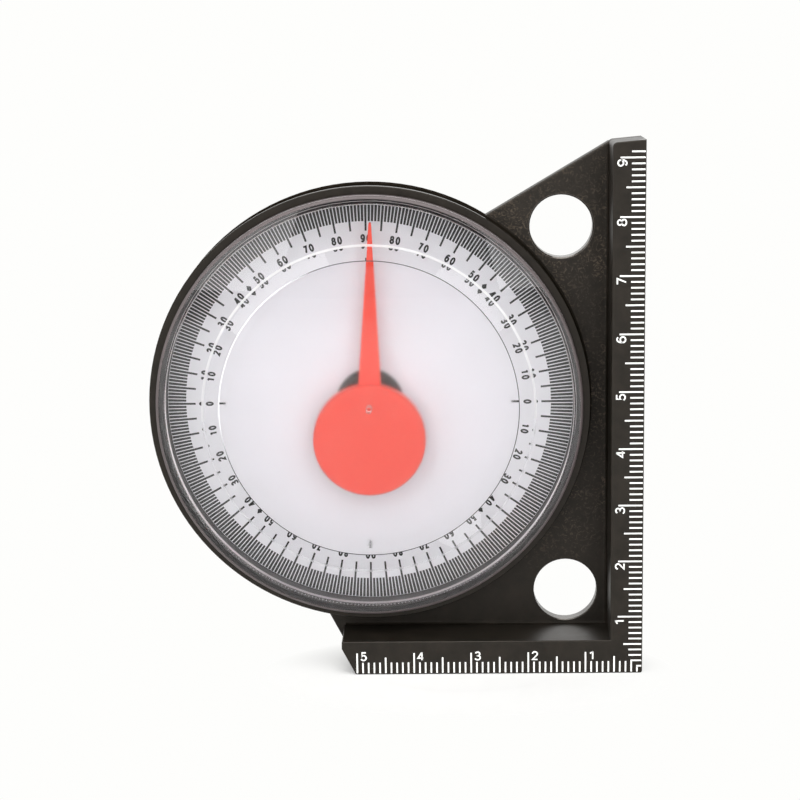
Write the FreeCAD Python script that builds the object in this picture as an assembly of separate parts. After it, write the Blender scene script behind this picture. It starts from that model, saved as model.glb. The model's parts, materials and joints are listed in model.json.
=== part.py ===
import FreeCAD, Part
import math
import os
from FreeCAD import Vector

# Pendulum angle gauge with two ruler edges.
# X runs to the right, Y from the front to the back, Z up. The origin lies on the
# resting plane, in the middle of the overall width and depth.
# A "depth" is the distance behind the front faces of the rulers.

# Driving dimensions in millimetres
side_height = 93.3
base_length = 50.2
body_depth = 12.4
side_flange_width = 5.6
base_flange_width = 6.0
side_to_axis = 47.2
base_to_axis = 47.0

# Ends of the two ruler flanges
end_angle = 62.7
end_slant_height = 4.65
top_drop_inner = 0.5
top_drop_back = 0.55
top_inner_radius = 0.8
corner_radius = 0.4
end_corner_radius = 0.3
front_edge_radius = 0.2

# Web plate between the flanges and the dial housing
web_thickness = 2.4
web_top_below_end = 1.25
web_slope = 30.5
web_overhang = 0.8
web_root_radius = 0.5
web_edge_radius = 0.3
upper_hole_radius = 5.45
lower_hole_radius = 5.6
hole_edge_bevel = 0.2
upper_hole_from_side = 13.75
upper_hole_below_top = 15.74
lower_hole_from_side = 12.98
lower_hole_height = 12.3

# Dial housing, a round pan that is one moulding with the flanges
housing_radius = 38.4
rim_width = 1.35
rim_height = 4.25
rim_edge_bevel = 0.12
pan_floor = 2.4
boss_radius = 5.8
boss_height = 1.4
boss_edge_bevel = 0.3
pip_radius = 1.5
pip_height = 0.2

# Clear lens, a shallow domed cup that stands on the pan floor
lens_gap = 0.05
lens_height = 6.0
lens_rise = 2.6
lens_edge_bevel = 0.8
skirt_wall = 1.3
skirt_root_bevel = 0.4
crown_thickness = 0.9
crown_radius = 25.85
step_width = 2.95
step_angle = 16.6
nub_radius = 0.5
nub_gap = 0.35

# Dial card
card_gap = 0.5
card_thickness = 0.5
card_hole_gap = 0.15

# Pivot pin and the bush that runs on it
pin_radius = 0.75
pin_press_gap = 0.01
pin_engagement = 1.9
pin_tip_bevel = 0.15
pin_head_radius = 1.6
pin_head_height = 0.7
pin_head_sunk = 0.2
pin_head_gap = 0.1
running_gap = 0.04
bush_wall = 0.9
bush_gap = 0.3

# Pointer, a needle and a hollow disc moulded in one, which stops a little past plumb
pointer_reach = 31.85
pointer_lean = 1.0
needle_tip_radius = 0.22
needle_root_half_width = 2.2
needle_thickness = 1.0
needle_behind_disc_front = 1.1
disc_radius = 9.8
disc_below_axis = 6.0
disc_thickness = 2.8
disc_skin = 0.8
disc_edge_bevel = 0.25
disc_back_gap = 0.6
hub_wall = 0.8
hub_rib_width = 3.6

# Steel counterweight in the back of the disc
weight_gap = 0.1
weight_thickness = 1.7
weight_edge_bevel = 0.2

# Magnet strips set flush into the two outer ruler faces
magnet_width = 7.8
magnet_thickness = 2.9
magnet_length = 38.0
magnet_gap = 0.1
magnet_sunk = 0.1
base_magnet_from_corner = 6.5
side_magnet_from_corner = 8.5
side_magnet_spacing = 42.0

# Places worked out from the sizes above
right_x = (side_to_axis + housing_radius) / 2
axis_x = right_x - side_to_axis
axis_z = base_to_axis
front_y = -body_depth / 2
floor_depth = body_depth - pan_floor
web_depth = body_depth - web_thickness
rim_depth = floor_depth - rim_height
seat_radius = housing_radius - rim_width
lens_radius = seat_radius - lens_gap
lens_inner_radius = lens_radius - skirt_wall
lens_edge_depth = floor_depth - lens_height
lens_crown_depth = lens_edge_depth - lens_rise
boss_depth = floor_depth - boss_height
disc_back_depth = boss_depth - disc_back_gap
disc_front_depth = disc_back_depth - disc_thickness
pocket_depth = disc_front_depth + disc_skin
needle_depth = disc_front_depth + needle_behind_disc_front
bush_back_depth = boss_depth - pip_height - bush_gap
bush_bore_radius = pin_radius + running_gap
bush_radius = bush_bore_radius + bush_wall
hub_radius = bush_radius + hub_wall
pin_tip_depth = bush_back_depth - pin_engagement
flange_inner_x = right_x - side_flange_width
base_left_x = right_x - base_length

y_axis = Vector(0, 1, 0)

# How far a cut runs past a face, and how far joined forms reach into each other
clear = 1.0
overlap = 0.5


def at(x, depth, z):
    """A point at a depth behind the ruler faces."""
    return Vector(x, front_y + depth, z)


def dial_point(radius, depth):
    """A point of a round piece's section, to the right of the dial axis."""
    return at(axis_x + radius, depth, axis_z)


def polygon_plate(corners, depth_front, depth_back):
    """A flat plate from (x, z) corners, between two depths."""
    points = [at(x, depth_front, z) for x, z in corners]
    wire = Part.makePolygon(points + [points[0]])
    return Part.Face(wire).extrude(y_axis * (depth_back - depth_front))


def disc(radius, depth_front, depth_back, x=axis_x, z=axis_z):
    """A round plate or hole between two depths, on the dial axis unless told otherwise."""
    length = depth_back - depth_front
    return Part.makeCylinder(radius, length, at(x, depth_front, z), y_axis)


def line(start, end):
    return Part.LineSegment(start, end).toShape()


def edges_where(shape, test):
    """The edges whose every vertex and middle point pass the test."""
    found = []
    for edge in shape.Edges:
        middle = edge.valueAt((edge.FirstParameter + edge.LastParameter) / 2)
        points = [vertex.Point for vertex in edge.Vertexes] + [middle]
        if all(test(point) for point in points):
            found.append(edge)
    return found


def near(a, b, tolerance=0.001):
    return abs(a - b) < tolerance


def upright_edges_at(shape, x, z):
    """The edges that run front to back through one corner of an outline."""
    return edges_where(shape, lambda p: near(p.x, x) and near(p.z, z))


def end_slant_x(height):
    """How far left the slanted end has moved at a height."""
    return height / math.tan(math.radians(end_angle))


def flanges():
    """The two rulers: an upright and a base flange that meet in a square corner."""
    end_top_x = base_left_x - end_slant_x(end_slant_height)
    corners = [
        (right_x, 0),
        (right_x, side_height),
        (flange_inner_x, side_height),
        (flange_inner_x, base_flange_width),
        (end_top_x, base_flange_width),
        (end_top_x, end_slant_height),
        (base_left_x, 0),
    ]
    solid = polygon_plate(corners, 0, body_depth)
    solid = solid.makeFillet(corner_radius, upright_edges_at(solid, right_x, 0))
    ends = upright_edges_at(solid, base_left_x, 0)
    ends += upright_edges_at(solid, end_top_x, base_flange_width)
    solid = solid.makeFillet(end_corner_radius, ends)
    solid = solid.cut(space_over_top())
    top = edges_where(solid, lambda p: near(p.x, flange_inner_x) and p.z > side_height / 2)
    return solid.makeFillet(top_inner_radius, top)


def space_over_top():
    """What the sloping upper end of the side flange leaves out."""
    inner_fall = top_drop_inner / side_flange_width
    back_fall = top_drop_back / body_depth
    lowest = []
    for x, depth in (
        (right_x + clear, -clear),
        (right_x + clear, body_depth + clear),
        (flange_inner_x - clear, body_depth + clear),
        (flange_inner_x - clear, -clear),
    ):
        fall = (right_x - x) * inner_fall + depth * back_fall
        lowest.append(at(x, depth, side_height - fall))
    sloping_face = Part.Face(Part.makePolygon(lowest + [lowest[0]]))
    return sloping_face.extrude(Vector(0, 0, side_flange_width))


def foot_of_axis(x, z, angle):
    """The point nearest the dial axis on a line through (x, z) at an angle to level."""
    along_x = math.cos(math.radians(angle))
    along_z = math.sin(math.radians(angle))
    reach = (axis_x - x) * along_x + (axis_z - z) * along_z
    return x + reach * along_x, z + reach * along_z


def web_outline(depth_front, depth_back, inset=0):
    """A plate with the web's outline, whose two slanted edges can be set inwards."""
    inside_x = right_x - side_flange_width / 2
    slope_top_z = side_height - web_top_below_end - inset / math.cos(math.radians(web_slope))
    left_x = base_left_x - web_overhang + inset / math.sin(math.radians(end_angle))
    corners = [
        (inside_x, 0),
        (inside_x, slope_top_z),
        (flange_inner_x, slope_top_z),
        foot_of_axis(flange_inner_x, slope_top_z, web_slope),
        (axis_x, axis_z),
        foot_of_axis(left_x, 0, -end_angle),
        (left_x, 0),
    ]
    return polygon_plate(corners, depth_front, depth_back)


def web():
    """The web plate, with its slanted edges rounded at the front."""
    plate = web_outline(web_depth, body_depth)
    slanted = []
    for edge in edges_where(plate, lambda p: near(p.y, front_y + web_depth)):
        start, end = [vertex.Point for vertex in edge.Vertexes]
        if not near(start.x, end.x) and not near(start.z, end.z):
            slanted.append(edge)
    return plate.makeFillet(web_edge_radius, slanted)


def root_section(place):
    """The section of a hollow round in the corner of the web and a wall.

    place(out, up) gives the point that far out from the wall and up from the web."""
    root = web_root_radius
    middle = root * (1 - math.sqrt(0.5))
    rounded = Part.Arc(place(0, root), place(middle, middle), place(root, 0)).toShape()
    corners = [
        place(root, 0),
        place(root, -overlap),
        place(-overlap, -overlap),
        place(-overlap, root),
        place(0, root),
    ]
    edges = [rounded]
    for start, end in zip(corners, corners[1:]):
        edges.append(line(start, end))
    return Part.Face(Part.Wire(edges))


def web_roots():
    """The hollow rounds where the web meets the two rulers and the pan."""
    end_x = base_left_x - end_slant_x(end_slant_height) + end_corner_radius

    def by_side(out, up):
        return at(flange_inner_x - out, web_depth - up, base_flange_width)

    def by_base(out, up):
        return at(end_x, web_depth - up, base_flange_width + out)

    def by_pan(out, up):
        return dial_point(housing_radius + out, web_depth - up)

    side = root_section(by_side).extrude(Vector(0, 0, side_height - base_flange_width))
    base = root_section(by_base).extrude(Vector(flange_inner_x - end_x, 0, 0))
    pan = root_section(by_pan).revolve(dial_point(0, 0), y_axis, 360)
    outline = web_outline(web_depth - web_root_radius, web_depth + overlap, web_edge_radius)
    return [root.common(outline) for root in (side, base, pan)]


def housing():
    """The outside of the pan that carries the dial."""
    solid = disc(housing_radius, rim_depth, body_depth)
    rim = edges_where(solid, lambda p: near(p.y, front_y + rim_depth))
    return solid.makeChamfer(rim_edge_bevel, rim)


def boss():
    """The raised centre of the pan, with a small pip that the bush runs against."""
    solid = disc(boss_radius, boss_depth, floor_depth)
    front = edges_where(solid, lambda p: near(p.y, front_y + boss_depth))
    solid = solid.makeChamfer(boss_edge_bevel, front)
    pip = disc(pip_radius, boss_depth - pip_height, boss_depth + boss_edge_bevel)
    return solid.fuse(pip)


def body():
    """Flanges, web, pan and boss, which are one black moulding."""
    rulers = flanges()
    front = edges_where(rulers, lambda p: near(p.y, front_y))
    rulers = rulers.makeFillet(front_edge_radius, front)
    solid = rulers.fuse([web(), housing()] + web_roots())
    solid = solid.cut(disc(seat_radius, rim_depth - clear, floor_depth))
    solid = solid.fuse(boss()).removeSplitter()
    for hole in hand_holes():
        solid = solid.cut(hole)
    solid = solid.cut(pin_hole())
    for slot in magnet_slots():
        solid = solid.cut(slot)
    return solid


def hand_holes():
    """The two round holes through the web."""
    upper_z = side_height - upper_hole_below_top
    places = [
        (upper_hole_radius, right_x - upper_hole_from_side, upper_z),
        (lower_hole_radius, right_x - lower_hole_from_side, lower_hole_height),
    ]
    holes = []
    for radius, x, z in places:
        hole = disc(radius, web_depth - clear, body_depth + clear, x, z)
        mouth = Part.makeCone(
            radius + hole_edge_bevel,
            radius,
            hole_edge_bevel,
            at(x, web_depth, z),
            y_axis,
        )
        holes.append(hole.fuse(mouth))
    return holes


def pin_hole():
    """The pressed seat of the pivot pin, with a sunk seat for its head at the back."""
    bore = disc(pin_radius + pin_press_gap, boss_depth - clear, body_depth + clear)
    seat_depth = body_depth - pin_head_sunk - pin_head_height
    seat = disc(pin_head_radius + pin_head_gap, seat_depth, body_depth + clear)
    return bore.fuse(seat)


def base_bar(length, width, thickness, from_corner, sunk):
    """A bar in the base face, centred in the depth."""
    x = right_x - from_corner - length
    corner = at(x, (body_depth - width) / 2, sunk)
    return Part.makeBox(length, width, thickness, corner)


def side_bar(length, width, thickness, from_corner, sunk):
    """A bar in the side face, centred in the depth."""
    x = right_x - sunk - thickness
    corner = at(x, (body_depth - width) / 2, from_corner)
    return Part.makeBox(thickness, width, length, corner)


def side_magnet_places():
    """How far above the corner the lower and the upper side magnet start."""
    return [side_magnet_from_corner, side_magnet_from_corner + side_magnet_spacing]


def magnet_slots():
    """The grooves for the magnet strips, open at the two outer ruler faces."""
    length = magnet_length + 2 * magnet_gap
    width = magnet_width + 2 * magnet_gap
    cut_depth = magnet_thickness + magnet_sunk + clear
    slots = [base_bar(length, width, cut_depth, base_magnet_from_corner - magnet_gap, -clear)]
    for start in side_magnet_places():
        slots.append(side_bar(length, width, cut_depth, start - magnet_gap, -clear))
    return slots


def base_magnet():
    return base_bar(
        magnet_length, magnet_width, magnet_thickness, base_magnet_from_corner, magnet_sunk
    )


def side_magnet(start):
    return side_bar(magnet_length, magnet_width, magnet_thickness, start, magnet_sunk)


def dome_radius():
    """The radius of the sphere that the domed front is part of."""
    edge = lens_radius - lens_edge_bevel
    return (edge ** 2 + lens_rise ** 2) / (2 * lens_rise)


def dome_sag(radius):
    """How far the domed front has fallen back from its crown at a radius."""
    return dome_radius() - math.sqrt(dome_radius() ** 2 - radius ** 2)


def ball(crown_depth):
    """A ball whose foremost point lies on the dial axis at a depth."""
    return Part.makeSphere(dome_radius(), dial_point(0, crown_depth + dome_radius()))


def lens_outside():
    """The outer form: a domed front, a bevelled edge and a round side."""
    solid = disc(lens_radius, lens_edge_depth, floor_depth)
    front = edges_where(solid, lambda p: near(p.y, front_y + lens_edge_depth))
    solid = solid.makeChamfer(lens_edge_bevel, front)
    crown = disc(lens_radius - lens_edge_bevel, lens_crown_depth - clear, lens_edge_depth + overlap)
    return solid.fuse(crown.common(ball(lens_crown_depth)))


def lens_inside():
    """The space behind the window, which steps back to a thicker zone at the edge."""
    inner_crown = lens_crown_depth + crown_thickness
    step_top = inner_crown + dome_sag(crown_radius)
    annulus = step_top + step_width * math.tan(math.radians(step_angle))
    step_outer = crown_radius + step_width
    window = disc(crown_radius, inner_crown - clear, annulus).common(ball(inner_crown))
    step = Part.makeCone(
        crown_radius, step_outer, annulus - step_top, dial_point(0, step_top), y_axis
    )
    root = Part.makeCone(
        lens_inner_radius - skirt_root_bevel,
        lens_inner_radius,
        skirt_root_bevel,
        dial_point(0, annulus),
        y_axis,
    )
    skirt = disc(lens_inner_radius, annulus + skirt_root_bevel, floor_depth + clear)
    nub = disc(nub_radius, inner_crown - clear, disc_front_depth - nub_gap)
    return window.fuse([step, root, skirt]).cut(nub)


def lens():
    """A domed window with a thicker outer zone, an inner step and a skirt."""
    return lens_outside().cut(lens_inside()).removeSplitter()


def dial_card():
    """The printed disc, glued to the pan floor round the boss."""
    outside = disc(lens_inner_radius - card_gap, floor_depth - card_thickness, floor_depth)
    hole = disc(boss_radius + card_hole_gap, floor_depth - card_thickness - clear, floor_depth + clear)
    return outside.cut(hole)


def pivot_pin():
    """A headed steel pin, pressed through the boss from the back."""
    shaft = disc(pin_radius, pin_tip_depth, body_depth - pin_head_sunk)
    tip = edges_where(shaft, lambda p: near(p.y, front_y + pin_tip_depth))
    shaft = shaft.makeChamfer(pin_tip_bevel, tip)
    head_front = body_depth - pin_head_sunk - pin_head_height
    head = disc(pin_head_radius, head_front, body_depth - pin_head_sunk)
    return shaft.fuse(head).removeSplitter()


def pointer_bush():
    """The brass bearing in the pointer's hub."""
    outside = disc(bush_radius, pocket_depth, bush_back_depth)
    bore = disc(bush_bore_radius, pocket_depth - clear, bush_back_depth + clear)
    return outside.cut(bore)


def leaning(shape):
    """A shape of the swinging pointer, turned about the dial axis to where it stopped."""
    shape.rotate(dial_point(0, 0), y_axis, pointer_lean)
    return shape


def needle():
    """A long taper with a round tip, from the disc up to the scale."""
    tip_centre = pointer_reach - needle_tip_radius
    spread = needle_root_half_width - needle_tip_radius
    lean = math.asin(spread / tip_centre)
    side_x = needle_tip_radius * math.cos(lean)
    side_z = tip_centre + needle_tip_radius * math.sin(lean)

    def place(x, z):
        return at(axis_x + x, needle_depth, axis_z + z)

    edges = [
        line(place(-needle_root_half_width, 0), place(-side_x, side_z)),
        Part.Arc(place(-side_x, side_z), place(0, pointer_reach), place(side_x, side_z)).toShape(),
        line(place(side_x, side_z), place(needle_root_half_width, 0)),
        line(place(needle_root_half_width, 0), place(-needle_root_half_width, 0)),
    ]
    face = Part.Face(Part.Wire(edges))
    return face.extrude(y_axis * needle_thickness)


def pointer():
    """Needle and disc in one red moulding, hollow at the back for the counterweight."""
    disc_z = axis_z - disc_below_axis
    head = disc(disc_radius, disc_front_depth, disc_back_depth, z=disc_z)
    front = edges_where(head, lambda p: near(p.y, front_y + disc_front_depth))
    head = head.makeChamfer(disc_edge_bevel, front)
    solid = head.fuse(needle())
    pocket_radius = disc_radius - disc_skin
    pocket = disc(pocket_radius, pocket_depth, disc_back_depth + clear, z=disc_z)
    hub = disc(hub_radius, pocket_depth, disc_back_depth)
    rib_height = disc_radius - disc_below_axis - disc_skin / 2
    rib_corner = at(axis_x - hub_rib_width / 2, pocket_depth, axis_z)
    rib = Part.makeBox(hub_rib_width, disc_back_depth - pocket_depth, rib_height, rib_corner)
    solid = solid.cut(pocket.cut(hub.fuse(rib)))
    solid = solid.cut(disc(bush_radius, pocket_depth, disc_back_depth + clear))
    return leaning(solid.removeSplitter())


def counterweight():
    """A round steel slug with a notch that clears the hub and its rib."""
    disc_z = axis_z - disc_below_axis
    slug_back = pocket_depth + weight_thickness
    slug = disc(disc_radius - disc_skin - weight_gap, pocket_depth, slug_back, z=disc_z)
    back = edges_where(slug, lambda p: near(p.y, front_y + slug_back))
    slug = slug.makeChamfer(weight_edge_bevel, back)
    notch_radius = hub_radius + weight_gap
    notch = disc(notch_radius, pocket_depth - clear, slug_back + clear)
    corner = at(axis_x - notch_radius, pocket_depth - clear, axis_z)
    channel = Part.makeBox(2 * notch_radius, weight_thickness + 2 * clear, disc_radius, corner)
    return leaning(slug.cut(notch.fuse(channel)))


def pieces():
    """Every separate piece by its name."""
    made = {
        "body": body(),
        "dial_card": dial_card(),
        "lens": lens(),
        "pivot_pin": pivot_pin(),
        "pointer": pointer(),
        "pointer_bush": pointer_bush(),
        "counterweight": counterweight(),
        "base_magnet": base_magnet(),
    }
    names = ["side_magnet_lower", "side_magnet_upper"]
    for name, start in zip(names, side_magnet_places()):
        made[name] = side_magnet(start)
    return made


os.makedirs("parts", exist_ok=True)
for name, shape in pieces().items():
    solid = shape.Solids[0] if len(shape.Solids) == 1 else shape
    solid.exportStep(f"parts/{name}.step")
    box = solid.BoundBox
    print(name, "solids", len(shape.Solids), "valid", solid.isValid(), "volume", round(solid.Volume, 2))
    print("  x", round(box.XMin, 2), round(box.XMax, 2), "y", round(box.YMin, 2), round(box.YMax, 2))
    print("  z", round(box.ZMin, 2), round(box.ZMax, 2))
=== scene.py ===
import bmesh
import bpy
import json
import math
from mathutils import Matrix, Vector


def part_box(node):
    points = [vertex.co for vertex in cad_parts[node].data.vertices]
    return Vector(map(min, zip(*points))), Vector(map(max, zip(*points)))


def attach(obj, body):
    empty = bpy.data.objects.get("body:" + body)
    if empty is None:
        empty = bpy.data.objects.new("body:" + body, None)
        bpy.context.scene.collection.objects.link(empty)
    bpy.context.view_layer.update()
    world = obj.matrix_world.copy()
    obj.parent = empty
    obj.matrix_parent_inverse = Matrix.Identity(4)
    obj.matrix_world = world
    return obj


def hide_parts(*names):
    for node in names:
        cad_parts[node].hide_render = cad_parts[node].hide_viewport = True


# Looks of the pendulum angle gauge: finishes, print, window and studio.
# X runs to the right, Y from the front to the back, Z up. Lengths are in metres.

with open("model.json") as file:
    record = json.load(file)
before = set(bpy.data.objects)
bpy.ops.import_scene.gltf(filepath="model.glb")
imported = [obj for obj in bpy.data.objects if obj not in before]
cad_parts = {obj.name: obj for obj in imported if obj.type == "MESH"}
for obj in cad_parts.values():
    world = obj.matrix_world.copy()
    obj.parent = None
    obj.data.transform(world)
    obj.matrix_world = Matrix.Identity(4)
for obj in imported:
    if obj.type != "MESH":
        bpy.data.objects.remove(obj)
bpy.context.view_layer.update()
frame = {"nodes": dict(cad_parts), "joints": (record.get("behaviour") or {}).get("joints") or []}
mm = 0.001

# Places read from the frame
axis = Vector(frame["joints"][0]["pos_m"])
body_low, body_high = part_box("body")
card_low, card_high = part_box("dial_card")
lens_low, lens_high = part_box("lens")
disc_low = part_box("pointer")[0]
right_x = body_high.x
face_y = body_low.y
card_y = card_low.y
lens_radius = (lens_high.x - lens_low.x) / 2
housing_radius = axis.x - body_low.x
floor_y = lens_high.y

# Black plastic: the web and its grain, faded low down as painted shade, the walls of the holes and the dull
# places, where lowered reflection is painted shade
web_thickness = 2.4 * mm
web_y = body_high.y - web_thickness
web_shade_low = 12 * mm
web_shade_high = 26 * mm
hole_centres = (Vector((29.05, 0, 77.56)) * mm, Vector((29.82, 0, 12.3)) * mm)
hole_reach = 5.7 * mm
wall_reach = 0.05 * mm
corner_reach = 0.4 * mm
corner_shade = 0.7
shaded_wall_start = -0.6 * mm
shaded_wall_end = 0.4 * mm

# Print, which stands a little proud of what it is on
ink_height = 0.012 * mm
ink_sunk = 0.01 * mm

# Scale of the dial, whose print sits a little off the axis
print_shift = Vector((-0.33, 0, -0.04)) * mm
print_turn = math.radians(-0.12)
print_edge_gap = 0.05 * mm
degree_inner = 31.68 * mm
number_inner = 30.04 * mm
tick_width = 0.37 * mm
tick_outer_width = 0.45 * mm
long_tick_width = 0.34 * mm
digit_radius = 28.75 * mm
digit_height = 1.42 * mm
digit_width = 0.82 * mm
digit_step = 1.03 * mm
digit_stroke = 0.32 * mm
mark_inner = 25.0 * mm
mark_outer = 26.45 * mm
mark_width = 0.36 * mm
diamond_radius = 28.6 * mm
diamond_long = 0.62 * mm
diamond_wide = 0.48 * mm

# The card is paler in the middle and darker towards its rim: painted shade where the rim shadows the card
middle_card = (0.9, 0.88, 0.945)
rim_shaded_card = (0.80, 0.79, 0.835)
rim_shade_start = 23 * mm
rim_shade_full = 28.5 * mm

# Rulers on the two front faces
side_zero_height = 0.31 * mm
base_zero_from_side = -0.08 * mm
side_last_tick = 91
base_last_tick = 50
side_edge_gap = 0.18 * mm
base_edge_gap = 0.25 * mm
ruler_tick_width = 0.27 * mm
side_ticks = {"one": 2.25 * mm, "five": 3.15 * mm, "ten": 4.15 * mm}
base_ticks = {"one": 1.93 * mm, "five": 2.85 * mm, "ten": 3.65 * mm}
side_digit_height = 1.7 * mm
side_digit_width = 1.26 * mm
side_digit_from_edge = 3.85 * mm
side_digit_below_tick = 0.9 * mm
base_digit_height = 1.66 * mm
base_digit_width = 1.17 * mm
base_digit_above_edge = 3.3 * mm
base_digit_right_of_tick = 1.15 * mm
ruler_stroke = 0.25 * mm

# Window in front of the dial: a dome in a ring whose front rises to a rounded ridge
window_height = 6.0 * mm
window_rise = 2.6 * mm
dome_edge_gap = 0.8 * mm
window_wall = 1.0 * mm
window_radius = 25.95 * mm
ridge_radius = 28.7 * mm
ridge_slope = math.radians(12.4)
ridge_round = 1.3 * mm
fold_width = 0.14 * mm
# Painted highlight on the fold: the way it faces and where it fades in
fold_highlight_way = Vector((-0.906, 0, 0.423))
fold_highlight_start = 18.3 * mm
fold_highlight_end = 22.3 * mm
shoulder_round = 0.62 * mm
shoulder_drop = shoulder_round * 1.1
edge_highlight_width = 0.2 * mm
skirt_wall = 1.3 * mm
skirt_round = 0.4 * mm
seat_depth = 6.5 * mm
seat_inner_radius = 35.44 * mm
seat_bevel = 0.3 * mm
seat_gap = 0.02 * mm
nub_radius = 0.5 * mm
nub_reach = 0.35 * mm
nub_round = 0.1 * mm
pip_radius = 0.45 * mm
pip_height = 0.12 * mm
pip_round = 0.06 * mm
dome_rings = 28
outer_rings = 8
arc_steps = 10
lathe_segments = 256

# The haze inside the dome, and the heights from the axis between which the painted highlight on the bends
# grows whiter
haze_start = 24.4 * mm
haze_end = 25.7 * mm
bend_highlight_low = -4 * mm
bend_highlight_high = 16 * mm

# Studio
white_shown = (0.99, 0.99, 0.975, 1)
floor_radius = 6.0
floor_colour = (0.64, 0.64, 0.63, 1)
floor_lit_place = Vector((0.012, -0.006, 0))
floor_lit_shape = Vector((0.6, 1, 1))
floor_lit_reach = 0.009
floor_white_reach = 0.022
world_fill = 0.32
world_front = 0.14
lamp_target = Vector((0, 0, 0.05))

# Camera
camera_lens_mm = 100.406
camera_place = Vector((10.285, -379.228, 129.448)) * mm
camera_turn = [math.radians(angle) for angle in (77.8769, 0.8186, 1.2403)]


def new_object(name, mesh, body, materials):
    """A piece that rides on a body, with one finish or more."""
    piece = bpy.data.objects.new(name, mesh)
    bpy.context.scene.collection.objects.link(piece)
    for material in materials:
        mesh.materials.append(material)
    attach(piece, body)
    return piece


def add_plate(mesh, outline, surface_y):
    """A printed shape from its outline on a face that looks to the front."""
    front = [mesh.verts.new((p.x, surface_y - ink_height, p.z)) for p in outline]
    back = [mesh.verts.new((p.x, surface_y + ink_sunk, p.z)) for p in outline]
    mesh.faces.new(front)
    mesh.faces.new(back[::-1])
    for i in range(len(outline)):
        j = (i + 1) % len(outline)
        mesh.faces.new([front[i], back[i], back[j], front[j]])


def add_bar(mesh, start, end, width, surface_y, end_width=None):
    """A straight printed bar from start to end, which may widen towards its end."""
    along = end - start
    across = Vector((-along.z, 0, along.x)).normalized() / 2
    at_start = across * width
    at_end = across * (end_width or width)
    add_plate(mesh, [start - at_start, end - at_end, end + at_end, start + at_start], surface_y)


def add_stroke(mesh, points, width, closed, surface_y):
    """A printed pen stroke along points, with its corners mitred."""
    count = len(points)
    lefts = []
    rights = []
    for i, point in enumerate(points):
        before = points[i - 1] if closed or i > 0 else None
        after = points[(i + 1) % count] if closed or i < count - 1 else None
        ways = []
        if before is not None:
            ways.append((point - before).normalized())
        if after is not None:
            ways.append((after - point).normalized())
        way = sum(ways, Vector()).normalized()
        reach = width / 2 / max(0.5, way.dot(ways[0]))
        side = Vector((-way.z, 0, way.x)) * reach
        lefts.append(point + side)
        rights.append(point - side)
    rails = []
    for depth in (surface_y - ink_height, surface_y + ink_sunk):
        for rail in (lefts, rights):
            rails.append([mesh.verts.new((p.x, depth, p.z)) for p in rail])
    front_left, front_right, back_left, back_right = rails
    for i in range(count if closed else count - 1):
        j = (i + 1) % count
        mesh.faces.new([front_left[i], front_right[i], front_right[j], front_left[j]])
        mesh.faces.new([back_left[i], back_left[j], back_right[j], back_right[i]])
        mesh.faces.new([front_left[i], front_left[j], back_left[j], back_left[i]])
        mesh.faces.new([front_right[i], back_right[i], back_right[j], front_right[j]])
    if not closed:
        mesh.faces.new([front_left[0], back_left[0], back_right[0], front_right[0]])
        mesh.faces.new([front_left[-1], front_right[-1], back_right[-1], back_left[-1]])


def arc(x, y, wide, high, start, end, steps):
    """Points on an ellipse about (x, y), between two angles in degrees."""
    points = []
    for i in range(steps + 1):
        angle = math.radians(start + (end - start) * i / steps)
        points.append((x + wide * math.cos(angle), y + high * math.sin(angle)))
    return points


def digit_strokes(digit):
    """The pen strokes of a digit in a box from (0, 0) to (1, 1), and whether each is closed."""
    if digit == "0":
        return [(arc(0.5, 0.5, 0.5, 0.5, 90, 435, 23), True)]
    if digit == "1":
        return [([(0.62, 0), (0.62, 1)], False), ([(0.66, 0.98), (0.12, 0.74)], False)]
    if digit == "2":
        return [(arc(0.5, 0.72, 0.46, 0.28, 175, -38, 10) + [(0.04, 0), (1, 0)], False)]
    if digit == "3":
        upper = arc(0.48, 0.76, 0.42, 0.24, 160, -90, 10)
        lower = arc(0.48, 0.26, 0.5, 0.26, 90, -160, 12)
        return [(upper + lower[1:], False)]
    if digit == "4":
        return [([(0.74, 0), (0.74, 1)], False), ([(0.7, 1), (0, 0.27), (1, 0.27)], False)]
    if digit == "5":
        bowl = arc(0.47, 0.32, 0.5, 0.32, 128, -155, 12)
        return [([(0.92, 1), (0.22, 1), (0.13, 0.5)] + bowl, False)]
    if digit in "69":
        bowl = arc(0.5, 0.31, 0.48, 0.31, 90, 435, 23)
        hook = [(0.02, 0.31)] + arc(0.54, 0.5, 0.52, 0.5, 180, 48, 9)
        strokes = [(bowl, True), (hook, False)]
        if digit == "9":
            strokes = [([(1 - x, 1 - y) for x, y in points], closed) for points, closed in strokes]
        return strokes
    if digit == "7":
        return [([(0, 1), (0.96, 1), (0.36, 0)], False)]
    upper = arc(0.5, 0.76, 0.42, 0.24, 90, 432, 19)
    lower = arc(0.5, 0.26, 0.5, 0.26, 90, 432, 19)
    return [(upper, True), (lower, True)]


def add_digits(mesh, text, middle, up, height, width, step, stroke, surface_y):
    """Printed digits, centred at a place, with their tops towards up."""
    side = Vector((up.z, 0, -up.x))
    for i, digit in enumerate(text):
        centre = middle + side * step * (i - (len(text) - 1) / 2)
        for points, closed in digit_strokes(digit):
            placed = []
            for x, y in points:
                across = (x - 0.5) * (width - stroke)
                upwards = (y - 0.5) * (height - stroke)
                placed.append(centre + side * across + up * upwards)
            add_stroke(mesh, placed, stroke, closed, surface_y)


def finished(mesh, name):
    """The mesh data of a bmesh, with its faces looking outwards."""
    bmesh.ops.recalc_face_normals(mesh, faces=mesh.faces)
    data = bpy.data.meshes.new(name)
    mesh.to_mesh(data)
    mesh.free()
    return data


def dial_direction(angle):
    """The direction of an angle on the dial, counted from the right and up."""
    return Vector((math.cos(angle), 0, math.sin(angle)))


def dial_place(angle, radius):
    return axis + print_shift + dial_direction(angle) * radius


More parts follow.
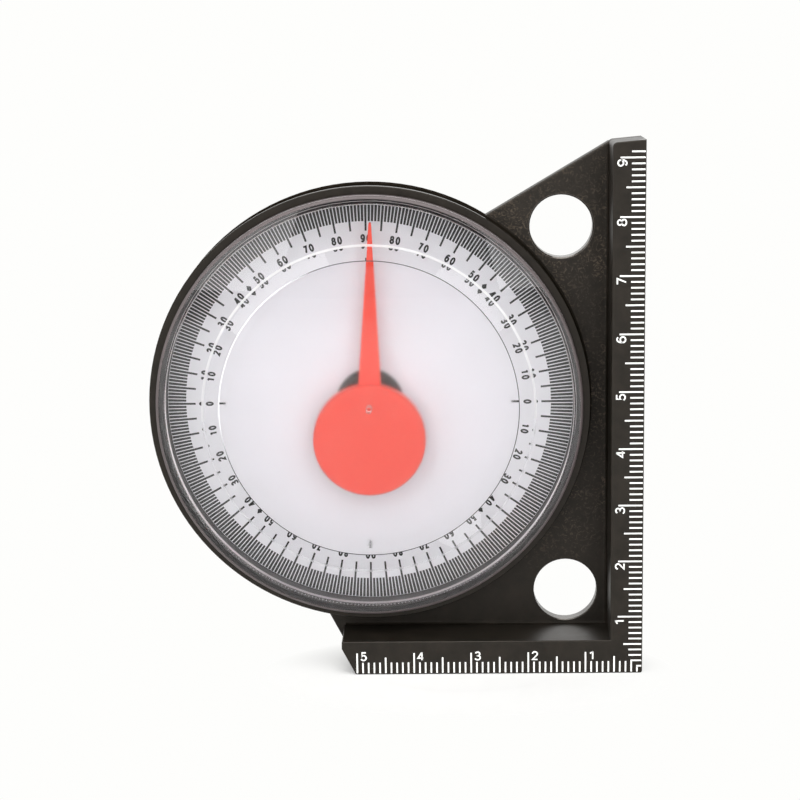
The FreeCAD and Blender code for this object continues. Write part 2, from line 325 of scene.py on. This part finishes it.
def card_edge(angle):
    """How far a dial place at an angle may be from the print's middle, just short of the card's edge."""
    edge = (card_high.x - card_low.x) / 2 - print_edge_gap
    along = print_shift.dot(dial_direction(angle))
    return math.sqrt(edge ** 2 - print_shift.length_squared + along ** 2) - along


def dial_print(material):
    """Degree marks all the way round, with a number at every ten degrees."""
    marks = bmesh.new()
    numbers = bmesh.new()
    for degree in range(360):
        angle = math.radians(degree) + print_turn
        outer = dial_place(angle, card_edge(angle))
        add_bar(marks, dial_place(angle, degree_inner), outer, tick_width, card_y, tick_outer_width)
        if degree % 5 == 0:
            start = dial_place(angle, number_inner)
            add_bar(marks, start, dial_place(angle, degree_inner), long_tick_width, card_y)
        if degree % 10 == 0:
            from_level = degree % 180
            shown = from_level if from_level <= 90 else 180 - from_level
            add_digits(
                numbers, str(shown), dial_place(angle, digit_radius), dial_direction(angle),
                digit_height, digit_width, digit_step, digit_stroke, card_y,
            )
        if degree % 90 == 0:
            add_bar(marks, dial_place(angle, mark_inner), dial_place(angle, mark_outer), mark_width, card_y)
        elif degree % 45 == 0:
            along = dial_direction(angle)
            across = Vector((-along.z, 0, along.x))
            middle = dial_place(angle, diamond_radius)
            corners = [
                middle + along * diamond_long, middle + across * diamond_wide,
                middle - along * diamond_long, middle - across * diamond_wide,
            ]
            add_plate(marks, corners, card_y)
    new_object("dial_marks", finished(marks, "dial_marks"), "housing", [material])
    new_object("dial_numbers", finished(numbers, "dial_numbers"), "housing", [material])


def tick_kind(count):
    """How long the mark of a millimetre is."""
    if count % 10 == 0:
        return "ten"
    return "five" if count % 5 == 0 else "one"


def rulers(material):
    """White millimetre marks and centimetre numbers on both front faces."""
    marks = bmesh.new()
    numbers = bmesh.new()
    edge_x = right_x - side_edge_gap
    for count in range(1, side_last_tick + 1):
        z = side_zero_height + count * mm
        corner_x = right_x - base_zero_from_side - count * mm - ruler_tick_width / 2
        left = max(edge_x - side_ticks[tick_kind(count)], corner_x)
        add_bar(marks, Vector((left, 0, z)), Vector((edge_x, 0, z)), ruler_tick_width, face_y)
        if count % 10 == 0:
            place = Vector((edge_x - side_digit_from_edge, 0, z - side_digit_below_tick))
            add_digits(
                numbers, str(count // 10), place, Vector((-1, 0, 0)), side_digit_height,
                side_digit_width, 0, ruler_stroke, face_y,
            )
    for count in range(1, base_last_tick + 1):
        x = right_x - base_zero_from_side - count * mm
        corner_z = side_zero_height + count * mm
        top = min(base_edge_gap + base_ticks[tick_kind(count)], corner_z)
        add_bar(marks, Vector((x, 0, base_edge_gap)), Vector((x, 0, top)), ruler_tick_width, face_y)
        if count % 10 == 0:
            place = Vector((x + base_digit_right_of_tick, 0, base_digit_above_edge))
            add_digits(
                numbers, str(count // 10), place, Vector((0, 0, 1)), base_digit_height,
                base_digit_width, 0, ruler_stroke, face_y,
            )
    new_object("ruler_marks", finished(marks, "ruler_marks"), "housing", [material])
    new_object("ruler_numbers", finished(numbers, "ruler_numbers"), "housing", [material])


def rounded(corners, segments):
    """Profile points in which each corner with a radius is an arc.

    A corner is (radius from the axis, y, rounding, kind). The kind is that of the arc, or without
    one that of the face after the corner."""
    points = []
    count = len(corners)
    for i, (r, y, rounding, kind) in enumerate(corners):
        here = Vector((r, y))
        if rounding == 0:
            points.append((here, kind))
            continue
        before = Vector(corners[i - 1][:2]) - here
        after = Vector(corners[(i + 1) % count][:2]) - here
        before.normalize()
        after.normalize()
        half = before.angle(after) / 2
        reach = rounding / math.tan(half)
        middle = here + (before + after).normalized() * rounding / math.sin(half)
        start = here + before * reach - middle
        sweep = math.pi - abs(before.angle_signed(after))
        sign = 1 if start.angle_signed(here + after * reach - middle) > 0 else -1
        for k in range(segments + 1):
            angle = -sign * sweep * k / segments
            points.append((middle + Matrix.Rotation(angle, 2) @ start, kind if k < segments else 0))
    return points


def add_lathe(mesh, profile, segments):
    """A closed round shell about the dial axis, from the loop of its half section.

    A face takes the finish that its first profile point names."""
    rings = []
    for (r, y), kind in profile:
        if r < 1e-7:
            rings.append([mesh.verts.new((axis.x, y, axis.z))])
            continue
        ring = []
        for i in range(segments):
            angle = 2 * math.pi * i / segments
            ring.append(mesh.verts.new((axis.x + r * math.cos(angle), y, axis.z + r * math.sin(angle))))
        rings.append(ring)
    for k, (ring, following) in enumerate(zip(rings, rings[1:] + rings[:1])):
        if len(ring) == 1 and len(following) == 1:
            continue
        for i in range(segments):
            j = (i + 1) % segments
            corners = [ring[i % len(ring)], ring[j % len(ring)]]
            corners += [following[j % len(following)], following[i % len(following)]]
            face = mesh.faces.new(list(dict.fromkeys(corners)))
            face.material_index = profile[k][1]


def window_mesh():
    """The clear window and the matt lower part of its skirt."""
    mesh = bmesh.new()
    for profile in (window_profile(), seat_profile()):
        add_lathe(mesh, profile, lathe_segments)
    data = finished(mesh, "window")
    data.polygons.foreach_set("use_smooth", [True] * len(data.polygons))
    data.set_sharp_from_angle(angle=math.radians(12))
    return data


def dome_back(radius):
    """How far the domed front has fallen back from its crown at a radius."""
    edge = lens_radius - dome_edge_gap
    sphere = (edge ** 2 + window_rise ** 2) / (2 * window_rise)
    return sphere - math.sqrt(sphere ** 2 - radius ** 2)


def window_profile():
    """The half section of the window above its seat.

    Kind 0 is polished, 1 is the hazy inside of the dome, 2 a bend with a painted highlight, 4 an edge with
    a painted highlight, 5 the fold round the dome with its painted line of highlight and shade, and 6 the
    matt shoulder."""
    crown_y = floor_y - window_height - window_rise
    inner_y = crown_y + window_wall
    nub_end = disc_low.y - nub_reach
    skirt_inner = lens_radius - skirt_wall
    seat_y = face_y + seat_depth
    fold_start = window_radius - fold_width / 2
    fold_end = window_radius + fold_width / 2
    ridge_y = crown_y + dome_back(fold_end) - (ridge_radius - fold_end) * math.tan(ridge_slope)

    def outer_y(radius):
        return ridge_y + dome_back(radius) - dome_back(ridge_radius)

    profile = [(0, crown_y - pip_height, 0, 0), (pip_radius, crown_y - pip_height, pip_round, 0)]
    profile.append((pip_radius, crown_y + dome_back(pip_radius), 0, 0))
    for i in range(1, dome_rings):
        radius = fold_start * i / dome_rings
        profile.append((radius, crown_y + dome_back(radius), 0, 0))
    profile += [
        (fold_start, crown_y + dome_back(fold_start), 0, 5),
        (fold_end, crown_y + dome_back(fold_end), 0, 0),
        (ridge_radius, ridge_y, ridge_round, 2),
    ]
    first = ridge_radius + ridge_round * 0.5
    last = lens_radius - shoulder_round * 1.2
    for i in range(outer_rings + 1):
        radius = first + (last - first) * i / outer_rings
        profile.append((radius, outer_y(radius), 0, 0))
    shoulder_y = outer_y(lens_radius)
    profile += [
        (lens_radius, shoulder_y, shoulder_round, 6),
        # Painted highlight: a thin pale band round the shoulder
        (lens_radius, shoulder_y + shoulder_drop, 0, 4),
        (lens_radius, shoulder_y + shoulder_drop + edge_highlight_width, 0, 6),
        (lens_radius, seat_y, 0, 0),
        (skirt_inner, seat_y, 0, 0),
        (skirt_inner, inner_y + dome_back(window_radius), skirt_round, 0),
        (window_radius, inner_y + dome_back(window_radius), 0, 1),
    ]
    for i in range(dome_rings - 1, 0, -1):
        radius = window_radius * i / dome_rings
        if radius > nub_radius * 2:
            profile.append((radius, inner_y + dome_back(radius), 0, 1))
    profile += [
        (nub_radius, inner_y + dome_back(nub_radius), 0, 1),
        (nub_radius, nub_end, nub_round, 1),
        (0, nub_end, 0, 1),
    ]
    return rounded(profile, arc_steps)


def seat_profile():
    """The half section of the skirt below the rim: kind 3 is matt and 4 its inner edge with a painted
    highlight.
    """
    top_y = face_y + seat_depth + seat_gap
    profile = [
        (seat_inner_radius + seat_bevel, top_y, 0, 3),
        (lens_radius, top_y, 0, 3),
        (lens_radius, floor_y, 0, 3),
        (seat_inner_radius, floor_y, 0, 3),
        (seat_inner_radius, top_y + seat_bevel, 0, 4),
    ]
    return rounded(profile, 1)


# Node helpers for the finishes
def new_material(name):
    material = bpy.data.materials.new(name)
    material.use_nodes = True
    return material


def node(material, kind, **values):
    """A new node with properties and unlinked inputs set by name."""
    made = material.node_tree.nodes.new(kind)
    for key, value in values.items():
        if hasattr(made, key):
            setattr(made, key, value)
        else:
            made.inputs[key.replace("_", " ")].default_value = value
    return made


def link(material, source, target):
    material.node_tree.links.new(source, target)


def principled(material):
    return material.node_tree.nodes["Principled BSDF"]


def coordinates(material):
    return node(material, "ShaderNodeTexCoord").outputs["Object"]


def noise(material, scale, detail=3.0, roughness=0.5):
    made = node(material, "ShaderNodeTexNoise", Scale=scale, Detail=detail, Roughness=roughness)
    link(material, coordinates(material), made.inputs["Vector"])
    return made.outputs["Fac"]


def ramp(material, source, stops):
    """A colour ramp with (place, colour) stops."""
    made = node(material, "ShaderNodeValToRGB")
    band = made.color_ramp
    while len(band.elements) < len(stops):
        band.elements.new(0.5)
    for element, (place, colour) in zip(band.elements, stops):
        element.position = place
        element.color = (*colour, 1)
    link(material, source, made.inputs["Fac"])
    return made.outputs["Color"]


def spread(material, source, from_low, from_high, to_low, to_high):
    """A value moved from one range to another and held inside it."""
    made = node(material, "ShaderNodeMapRange")
    made.inputs["From Min"].default_value = from_low
    made.inputs["From Max"].default_value = from_high
    made.inputs["To Min"].default_value = to_low
    made.inputs["To Max"].default_value = to_high
    link(material, source, made.inputs["Value"])
    return made.outputs["Result"]


def fitted(material, source, low, high):
    """A 0 to 1 value spread between two others."""
    return spread(material, source, 0, 1, low, high)


def combined(material, operation, first, second):
    """Two values joined by a sum of the named kind. The second may be a plain number."""
    made = node(material, "ShaderNodeMath", operation=operation)
    link(material, first, made.inputs[0])
    if isinstance(second, (int, float)):
        made.inputs[1].default_value = second
    else:
        link(material, second, made.inputs[1])
    return made.outputs["Value"]


def bump(material, height, distance, strength):
    made = node(material, "ShaderNodeBump", Distance=distance)
    if isinstance(strength, float):
        made.inputs["Strength"].default_value = strength
    else:
        link(material, strength, made.inputs["Strength"])
    link(material, height, made.inputs["Height"])
    link(material, made.outputs["Normal"], principled(material).inputs["Normal"])


def part_of_place(material, name):
    """The X, Y or Z of the place on the object."""
    parts = node(material, "ShaderNodeSeparateXYZ")
    link(material, coordinates(material), parts.inputs["Vector"])
    return parts.outputs[name]


def place_from(material, start):
    """The place on the object, counted from another place."""
    moved = node(material, "ShaderNodeVectorMath", operation="SUBTRACT")
    link(material, coordinates(material), moved.inputs[0])
    moved.inputs[1].default_value = start
    return moved.outputs["Vector"]


def shaped_length(material, way, shape):
    """The length of a vector, each part of which is first multiplied by that of the shape."""
    shaped = node(material, "ShaderNodeVectorMath", operation="MULTIPLY")
    link(material, way, shaped.inputs[0])
    shaped.inputs[1].default_value = shape
    reach = node(material, "ShaderNodeVectorMath", operation="LENGTH")
    link(material, shaped.outputs["Vector"], reach.inputs[0])
    return reach.outputs["Value"]


def axis_distance(material, centre=axis):
    """The distance from the dial axis, or from another line that runs to the back."""
    return shaped_length(material, place_from(material, centre), (1, 0, 1))


def plastic_tone(material, mottle, web):
    """How pale the black plastic is: worm-like flecks on the web, faded out low down as painted shade."""
    worms = node(material, "ShaderNodeTexNoise", Scale=900.0, Detail=3.0, Roughness=0.6, Distortion=2.5)
    link(material, coordinates(material), worms.inputs["Vector"])
    flecks = spread(material, worms.outputs["Fac"], 0.45, 0.64, 0, 1)
    patches = spread(material, noise(material, 150, 2.0), 0.4, 0.6, 0.6, 1)
    # Painted shade: the flecks fade out towards the bottom of the web
    height = spread(material, part_of_place(material, "Z"), web_shade_low, web_shade_high, 0.2, 1)
    grain = combined(material, "MULTIPLY", combined(material, "MULTIPLY", flecks, patches), height)
    shown = combined(material, "MULTIPLY", grain, web)
    return combined(material, "MAXIMUM", spread(material, mottle, 0.35, 0.7, 0, 0.35), shown)


def pan_wall(material):
    """1 on the outer wall of the dial's pan and 0 elsewhere."""
    away = combined(material, "SUBTRACT", axis_distance(material), housing_radius)
    away = combined(material, "ABSOLUTE", away, 0)
    return spread(material, away, wall_reach, 2 * wall_reach, 1, 0)


def cut_faces(material):
    """1 on the side ruler's top end and on the walls of the holes, and 0 elsewhere."""
    height = part_of_place(material, "Z")
    mask = spread(material, height, body_high.z - 3 * wall_reach, body_high.z - wall_reach, 0, 1)
    for centre in hole_centres:
        reach = axis_distance(material, centre)
        wall = spread(material, reach, hole_reach, hole_reach + wall_reach, 1, 0)
        mask = combined(material, "MAXIMUM", mask, wall)
    return mask


def dull_places(material, wall, cut):
    """How far reflection is dulled as painted shade at the rear of the pan's wall and in the corners round
    the web.
    """
    depth = part_of_place(material, "Y")
    near_web = spread(
        material, depth, web_y - 1.5 * corner_reach, web_y - corner_reach, 0, corner_shade)
    on_web = spread(material, depth, web_y - 0.012 * mm, web_y - 0.004 * mm, 0, corner_shade)
    corner = combined(material, "SUBTRACT", near_web, on_web)
    behind = spread(material, depth, shaded_wall_start, shaded_wall_end, 0, 1)
    rear = combined(material, "MULTIPLY", wall, behind)
    return combined(material, "MAXIMUM", rear, combined(material, "SUBTRACT", corner, cut))


def black_plastic():
    """Black moulded plastic: leather-like grain on the web, smoother rulers and a glossy pan wall."""
    material = new_material("black_plastic")
    shader = principled(material)
    mottle = noise(material, 420, 4.0, 0.6)
    web = spread(material, part_of_place(material, "Y"), web_y - 0.06 * mm, web_y - 0.02 * mm, 0, 1)
    tone = plastic_tone(material, mottle, web)
    stops = [(0.0, (0.006, 0.005, 0.0035)), (0.35, (0.012, 0.0095, 0.007)), (1.0, (0.052, 0.04, 0.029))]
    link(material, ramp(material, tone, stops), shader.inputs["Base Color"])
    shader.inputs["Specular Tint"].default_value = (1.0, 0.92, 0.85, 1)
    wall = pan_wall(material)
    cut = cut_faces(material)
    bright = spread(material, cut, 0, 1, 0.3, 1.0)
    # Painted shade: less reflection in the corners round the web and at the rear of the pan's wall
    unshaded = spread(material, dull_places(material, wall, cut), 0, 1, 1, 0)
    link(material, combined(material, "MULTIPLY", bright, unshaded), shader.inputs["Specular IOR Level"])
    rough = combined(material, "ADD", fitted(material, mottle, 0.34, 0.48), fitted(material, web, 0, 0.1))
    shine = combined(material, "MULTIPLY", combined(material, "MAXIMUM", wall, cut), -0.24)
    link(material, combined(material, "ADD", rough, shine), shader.inputs["Roughness"])
    cells = node(material, "ShaderNodeTexVoronoi", feature="SMOOTH_F1", Scale=1000)
    link(material, coordinates(material), cells.inputs["Vector"])
    bump(material, cells.outputs["Distance"], 0.05 * mm, fitted(material, web, 0.01, 0.7))
    return material


def printed_card():
    """The pale lilac face of the dial, with painted shade darkening it towards the rim."""
    material = new_material("printed_card")
    shader = principled(material)
    # Painted shade: the card darkens towards its rim
    rim_shade = spread(material, axis_distance(material), rim_shade_start, rim_shade_full, 0.1, 0.9)
    mottle = spread(material, noise(material, 150, 3.0), 0.3, 0.7, -0.1, 0.1)
    tone = combined(material, "ADD", rim_shade, mottle)
    colour = ramp(material, tone, [(0.0, middle_card), (1.0, rim_shaded_card)])
    link(material, colour, shader.inputs["Base Color"])
    link(material, fitted(material, noise(material, 3000), 0.5, 0.6), shader.inputs["Roughness"])
    return material


def ink(name, dark, pale):
    """Printing ink with a faint unevenness."""
    material = new_material(name)
    shader = principled(material)
    mottle = noise(material, 2500)
    shader.inputs["Specular IOR Level"].default_value = 0.12
    link(material, ramp(material, mottle, [(0.3, dark), (0.7, pale)]), shader.inputs["Base Color"])
    link(material, fitted(material, mottle, 0.5, 0.65), shader.inputs["Roughness"])
    return material


def red_plastic():
    """Bright orange-red plastic with a soft sheen."""
    material = new_material("red_plastic")
    shader = principled(material)
    mottle = noise(material, 260, 3.0)
    colour = ramp(material, mottle, [(0.3, (0.97, 0.062, 0.03)), (0.7, (0.99, 0.078, 0.044))])
    link(material, colour, shader.inputs["Base Color"])
    shader.inputs["Specular IOR Level"].default_value = 0.3
    link(material, fitted(material, mottle, 0.35, 0.45), shader.inputs["Roughness"])
    return material


def clear_plastic(name):
    """Clear plastic, polished until told otherwise."""
    material = new_material(name)
    shader = principled(material)
    shader.inputs["Base Color"].default_value = (1, 1, 1, 1)
    shader.inputs["Transmission Weight"].default_value = 1.0
    shader.inputs["IOR"].default_value = 1.49
    faint = noise(material, 60, 2.0)
    link(material, fitted(material, faint, 0.0, 0.004), shader.inputs["Roughness"])
    return material


def hazy_plastic():
    """The inside of the window, whose haze fades out towards the fold."""
    material = clear_plastic("hazy_plastic")
    haze = spread(material, axis_distance(material), haze_start, haze_end, 0.27, 0.0)
    link(material, haze, principled(material).inputs["Roughness"])
    return material


def frosted_plastic():
    """The bends of the window: frosted, with a painted highlight that is whiter and less clear towards the
    top.
    """
    material = clear_plastic("frosted_plastic")
    shader = principled(material)
    # Painted highlight: the bends turn whiter towards the top
    height = spread(material, part_of_place(material, "Z"), axis.z + bend_highlight_low, axis.z + bend_highlight_high, 0, 1)
    link(material, fitted(material, height, 0.95, 0.7), shader.inputs["Transmission Weight"])
    link(material, fitted(material, height, 0.25, 0.45), shader.inputs["Roughness"])
    colour = ramp(material, height, [(0.0, (0.93, 0.93, 0.935)), (1.0, (1, 1, 1))])
    link(material, colour, shader.inputs["Base Color"])
    return material


def bright_edge():
    """A sharp edge of the clear plastic with a painted highlight, paler towards the top where the light
    falls from above.
    """
    material = new_material("bright_edge")
    shader = principled(material)
    # Painted highlight, with painted shade darkening it towards the bottom of the window
    height = spread(
        material, part_of_place(material, "Z"), axis.z - lens_radius, axis.z - lens_radius / 3, 0, 1)
    colour = ramp(material, height, [(0.0, (0.27, 0.24, 0.255)), (1.0, (0.93, 0.88, 0.89))])
    link(material, colour, shader.inputs["Base Color"])
    link(material, fitted(material, noise(material, 700), 0.4, 0.6), shader.inputs["Roughness"])
    return material


def fold_line():
    """The fold round the dome: a fine painted line, a painted highlight at the upper left and painted shade
    elsewhere.
    """
    material = new_material("fold_line")
    shader = principled(material)
    # Painted highlight at the upper left, painted shade elsewhere
    towards = node(material, "ShaderNodeVectorMath", operation="DOT_PRODUCT")
    link(material, place_from(material, axis), towards.inputs[0])
    towards.inputs[1].default_value = fold_highlight_way
    side = spread(material, towards.outputs["Value"], fold_highlight_start, fold_highlight_end, 0, 1)
    colour = ramp(material, side, [(0.0, (0.03, 0.03, 0.034)), (1.0, (0.8, 0.8, 0.82))])
    link(material, colour, shader.inputs["Base Color"])
    link(material, fitted(material, noise(material, 700), 0.4, 0.6), shader.inputs["Roughness"])
    return material


def matt_plastic(name, dark, pale):
    """A matt part of the window's edge, grey from the dark pan round it."""
    material = new_material(name)
    shader = principled(material)
    mottle = noise(material, 900)
    colour = ramp(material, mottle, [(0.3, dark), (0.7, pale)])
    link(material, colour, shader.inputs["Base Color"])
    link(material, fitted(material, mottle, 0.5, 0.65), shader.inputs["Roughness"])
    return material


def metal(name, dark, pale, rough_low, rough_high, scale):
    """A plain metal with faint tool marks."""
    material = new_material(name)
    shader = principled(material)
    shader.inputs["Metallic"].default_value = 1.0
    marks = noise(material, scale, 4.0)
    link(material, ramp(material, marks, [(0.3, dark), (0.7, pale)]), shader.inputs["Base Color"])
    link(material, fitted(material, marks, rough_low, rough_high), shader.inputs["Roughness"])
    return material


def magnet_strip():
    """Dark sintered magnet with a ground face."""
    material = new_material("magnet_strip")
    shader = principled(material)
    grain = noise(material, 1800, 5.0, 0.7)
    colour = ramp(material, grain, [(0.3, (0.035, 0.035, 0.038)), (0.75, (0.075, 0.075, 0.08))])
    link(material, colour, shader.inputs["Base Color"])
    link(material, fitted(material, grain, 0.5, 0.7), shader.inputs["Roughness"])
    bump(material, grain, 0.02 * mm, 0.4)
    return material


def wear(name, material):
    """Gives a node of the frame its finish."""
    frame["nodes"][name].data.materials.clear()
    frame["nodes"][name].data.materials.append(material)


def shown_white(holder, behind):
    """Where white is shown: to the camera, and to reflections and clear plastic from behind the object."""
    path = node(holder, "ShaderNodeLightPath")
    glossy = path.outputs["Is Glossy Ray"]
    through = combined(holder, "MAXIMUM", glossy, path.outputs["Is Transmission Ray"])
    through = combined(holder, "MULTIPLY", through, behind)
    return combined(holder, "MAXIMUM", path.outputs["Is Camera Ray"], through)


def mixed_shader(holder, factor, first, second, output):
    mixed = node(holder, "ShaderNodeMixShader")
    link(holder, factor, mixed.inputs["Fac"])
    link(holder, first, mixed.inputs[1])
    link(holder, second, mixed.inputs[2])
    link(holder, mixed.outputs[0], output)


def room():
    """A dim even room that looks white."""
    world = bpy.data.worlds.new("room")
    bpy.context.scene.world = world
    world.use_nodes = True
    out = world.node_tree.nodes["World Output"]
    fill = world.node_tree.nodes["Background"]
    fill.inputs["Color"].default_value = (1, 1, 1, 1)
    white = node(world, "ShaderNodeBackground", Color=white_shown, Strength=1.0)
    parts = node(world, "ShaderNodeSeparateXYZ")
    link(world, node(world, "ShaderNodeTexCoord").outputs["Generated"], parts.inputs["Vector"])
    strength = spread(world, parts.outputs["Y"], -0.95, -0.3, world_front, world_fill)
    link(world, strength, fill.inputs["Strength"])
    behind = spread(world, parts.outputs["Y"], 0.0, 0.2, 0, 1)
    shown = shown_white(world, behind)
    mixed_shader(world, shown, fill.outputs[0], white.outputs[0], out.inputs["Surface"])


def floor():
    """A pale floor that keeps the shadow near the object and is plain white farther away."""
    mesh = bmesh.new()
    bmesh.ops.create_circle(mesh, cap_ends=True, radius=floor_radius, segments=64)
    thing = bpy.data.objects.new("floor", finished(mesh, "floor"))
    bpy.context.scene.collection.objects.link(thing)
    material = new_material("floor")
    shader = principled(material)
    shader.inputs["Base Color"].default_value = floor_colour
    shader.inputs["Roughness"].default_value = 0.9
    shader.inputs["Specular IOR Level"].default_value = 0.2
    white = node(material, "ShaderNodeEmission", Color=white_shown, Strength=1.0)
    reach = shaped_length(material, place_from(material, floor_lit_place), floor_lit_shape)
    far = spread(material, reach, floor_lit_reach, floor_white_reach, 0, 1)
    behind = spread(material, part_of_place(material, "Y"), 0.0, 0.1, 0, 1)
    shown = combined(material, "MULTIPLY", shown_white(material, behind), far)
    out = material.node_tree.nodes["Material Output"]
    mixed_shader(material, shown, shader.outputs["BSDF"], white.outputs[0], out.inputs["Surface"])
    thing.data.materials.append(material)


def lamp(name, place, wide, high, radiance):
    """A soft rectangular lamp that looks at the object."""
    light = bpy.data.lights.new(name, "AREA")
    light.shape = "RECTANGLE"
    light.size = wide
    light.size_y = high
    light.energy = radiance * math.pi * wide * high
    thing = bpy.data.objects.new(name, light)
    thing.location = place
    looking = lamp_target - Vector(place)
    thing.rotation_euler = looking.to_track_quat("-Z", "Y").to_euler()
    bpy.context.scene.collection.objects.link(thing)


def camera():
    """The camera in front of the dial, a little above it."""
    data = bpy.data.cameras.new("camera")
    data.lens = camera_lens_mm
    data.sensor_width = 36.0
    data.clip_start = 0.01
    thing = bpy.data.objects.new("camera", data)
    thing.location = camera_place
    thing.rotation_euler = camera_turn
    bpy.context.scene.collection.objects.link(thing)
    bpy.context.scene.camera = thing


def main():
    steel = metal("turned_steel", (0.45, 0.45, 0.46), (0.6, 0.6, 0.61), 0.25, 0.4, 1500)
    wear("body", black_plastic())
    wear("dial_card", printed_card())
    wear("pointer", red_plastic())
    wear("pivot_pin", steel)
    wear("counterweight", steel)
    wear("pointer_bush", metal("brass", (0.6, 0.42, 0.17), (0.75, 0.55, 0.25), 0.25, 0.4, 1500))
    magnet = magnet_strip()
    for name in ("base_magnet", "side_magnet_lower", "side_magnet_upper"):
        wear(name, magnet)
    dial_print(ink("black_ink", (0.004, 0.0035, 0.004), (0.012, 0.011, 0.012)))
    rulers(ink("white_ink", (0.82, 0.82, 0.80), (0.88, 0.88, 0.86)))
    finishes = [
        clear_plastic("clear_plastic"), hazy_plastic(), frosted_plastic(),
        matt_plastic("skirt_plastic", (0.043, 0.036, 0.038), (0.06, 0.051, 0.053)),
        bright_edge(), fold_line(),
        matt_plastic("shoulder_plastic", (0.075, 0.06, 0.06), (0.09, 0.073, 0.073)),
    ]
    window = new_object("window", window_mesh(), "housing", finishes)
    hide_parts("lens")
    room()
    floor()
    lamp("lamp_top", (0.0, -0.25, 0.65), 0.5, 0.5, 5.0)
    lamp("lamp_back", (0.0, 0.6, 0.35), 1.2, 0.4, 0.8)
    lamp("lamp_left", (-0.65, -0.7, 0.52), 1.4, 1.0, 2.4)
    lamp("lamp_right", (0.65, -0.7, 0.52), 1.4, 1.0, 2.25)
    camera()


main()
bpy.context.scene.view_settings.view_transform = "Standard"
